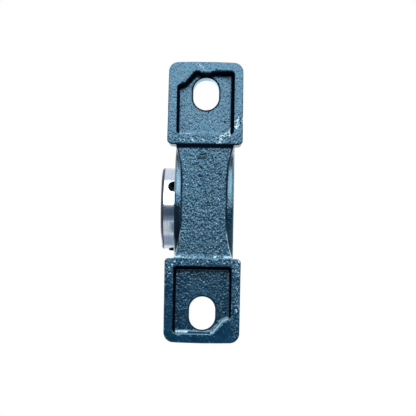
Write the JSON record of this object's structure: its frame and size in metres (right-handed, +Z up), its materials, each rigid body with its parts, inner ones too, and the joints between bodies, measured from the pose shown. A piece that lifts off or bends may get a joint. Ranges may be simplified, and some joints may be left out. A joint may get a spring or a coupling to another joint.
{
  "type": "pillow block bearing",
  "caption": "Cast iron pillow block with hollow, slotted feet and a self-aligning, sealed ball bearing insert that clamps to its shaft with set screws.",
  "frame": {"origin": "on the base plane, midway between the two bolt slots and under the middle of the bore", "axes": "+X along the base from slot to slot, +Y along the shaft with the set screws at the -Y end, +Z up from the base"},
  "size_m": [0.19, 0.0558, 0.1172],
  "materials": {
    "enamel": "gloss enamel over rough cast iron",
    "ring_steel": "ground",
    "ball_steel": "polished",
    "cage_steel": "pressed sheet",
    "shield_steel": "pressed sheet, satin",
    "spring_steel": "drawn wire",
    "nipple_zinc": "zinc plated",
    "seal_rubber": "moulded nitrile rubber",
    "black_oxide": "black oxide"
  },
  "bodies": {
    "housing": {"housing": "enamel", "grease_nipple_body": "nipple_zinc", "grease_nipple_spring": "spring_steel"},
    "nipple_ball": {"grease_nipple_ball": "ball_steel"},
    "outer_ring": {"outer_ring": "ring_steel", "seal_front_shield": "shield_steel", "seal_front_lip": "seal_rubber", "seal_back_shield": "shield_steel", "seal_back_lip": "seal_rubber"},
    "inner_ring": {"inner_ring": "ring_steel", "slinger_front": "shield_steel", "slinger_back": "shield_steel"},
    "cage": {"cage_front": "cage_steel", "cage_back": "cage_steel", "cage_rivets": "cage_steel"},
    "ball_01": {"ball_01": "ball_steel"},
    "ball_02": {"ball_02": "ball_steel"},
    "ball_03": {"ball_03": "ball_steel"},
    "ball_04": {"ball_04": "ball_steel"},
    "ball_05": {"ball_05": "ball_steel"},
    "ball_06": {"ball_06": "ball_steel"},
    "ball_07": {"ball_07": "ball_steel"},
    "ball_08": {"ball_08": "ball_steel"},
    "ball_09": {"ball_09": "ball_steel"},
    "set_screw_1": {"set_screw_1": "black_oxide"},
    "set_screw_2": {"set_screw_2": "black_oxide"}
  },
  "joints": [
    {"name": "align_tilt", "type": "hinge", "parent": "housing", "child": "outer_ring", "pos_m": [0, 0, 0.054], "axis": [1, 0, 0], "range_deg": [-2, 2]},
    {"name": "inner_spin", "type": "hinge", "parent": "outer_ring", "child": "inner_ring", "pos_m": [0, 0, 0.054], "axis": [0, 1, 0], "continuous": true},
    {"name": "cage_spin", "type": "hinge", "parent": "outer_ring", "child": "cage", "pos_m": [0, 0, 0.054], "axis": [0, 1, 0], "continuous": true},
    {"name": "ball_01_spin", "type": "hinge", "parent": "cage", "child": "ball_01", "pos_m": [0, 0, 0.0215], "axis": [0, 1, 0], "continuous": true},
    {"name": "ball_02_spin", "type": "hinge", "parent": "cage", "child": "ball_02", "pos_m": [0.02089, 0, 0.0291], "axis": [0, 1, 0], "continuous": true},
    {"name": "ball_03_spin", "type": "hinge", "parent": "cage", "child": "ball_03", "pos_m": [0.03201, 0, 0.04836], "axis": [0, 1, 0], "continuous": true},
    {"name": "ball_04_spin", "type": "hinge", "parent": "cage", "child": "ball_04", "pos_m": [0.02815, 0, 0.07025], "axis": [0, 1, 0], "continuous": true},
    {"name": "ball_05_spin", "type": "hinge", "parent": "cage", "child": "ball_05", "pos_m": [0.01112, 0, 0.08454], "axis": [0, 1, 0], "continuous": true},
    {"name": "ball_06_spin", "type": "hinge", "parent": "cage", "child": "ball_06", "pos_m": [-0.01112, 0, 0.08454], "axis": [0, 1, 0], "continuous": true},
    {"name": "ball_07_spin", "type": "hinge", "parent": "cage", "child": "ball_07", "pos_m": [-0.02815, 0, 0.07025], "axis": [0, 1, 0], "continuous": true},
    {"name": "ball_08_spin", "type": "hinge", "parent": "cage", "child": "ball_08", "pos_m": [-0.03201, 0, 0.04836], "axis": [0, 1, 0], "continuous": true},
    {"name": "ball_09_spin", "type": "hinge", "parent": "cage", "child": "ball_09", "pos_m": [-0.02089, 0, 0.0291], "axis": [0, 1, 0], "continuous": true},
    {"name": "set_screw_1_travel", "type": "slide", "parent": "inner_ring", "child": "set_screw_1", "axis": [-0.4446, 0, 0.8957], "range_m": [-0.0045, 0.0011]},
    {"name": "set_screw_2_travel", "type": "slide", "parent": "inner_ring", "child": "set_screw_2", "axis": [0.998, 0, -0.0628], "range_m": [-0.0045, 0.0011]},
    {"name": "nipple_check", "type": "slide", "parent": "housing", "child": "nipple_ball", "axis": [0, 0, -1], "range_m": [0, 0.0008], "stiffness_N_per_m": 300, "springref_m": -0.002, "deforming": ["grease_nipple_spring"]}
  ],
  "couplings": [
    {"joint": "cage_spin", "follows": "inner_spin", "ratio": 0.40231},
    {"joint": "ball_01_spin", "follows": "inner_spin", "ratio": -2.4614},
    {"joint": "ball_02_spin", "follows": "inner_spin", "ratio": -2.4614},
    {"joint": "ball_03_spin", "follows": "inner_spin", "ratio": -2.4614},
    {"joint": "ball_04_spin", "follows": "inner_spin", "ratio": -2.4614},
    {"joint": "ball_05_spin", "follows": "inner_spin", "ratio": -2.4614},
    {"joint": "ball_06_spin", "follows": "inner_spin", "ratio": -2.4614},
    {"joint": "ball_07_spin", "follows": "inner_spin", "ratio": -2.4614},
    {"joint": "ball_08_spin", "follows": "inner_spin", "ratio": -2.4614},
    {"joint": "ball_09_spin", "follows": "inner_spin", "ratio": -2.4614}
  ]
}
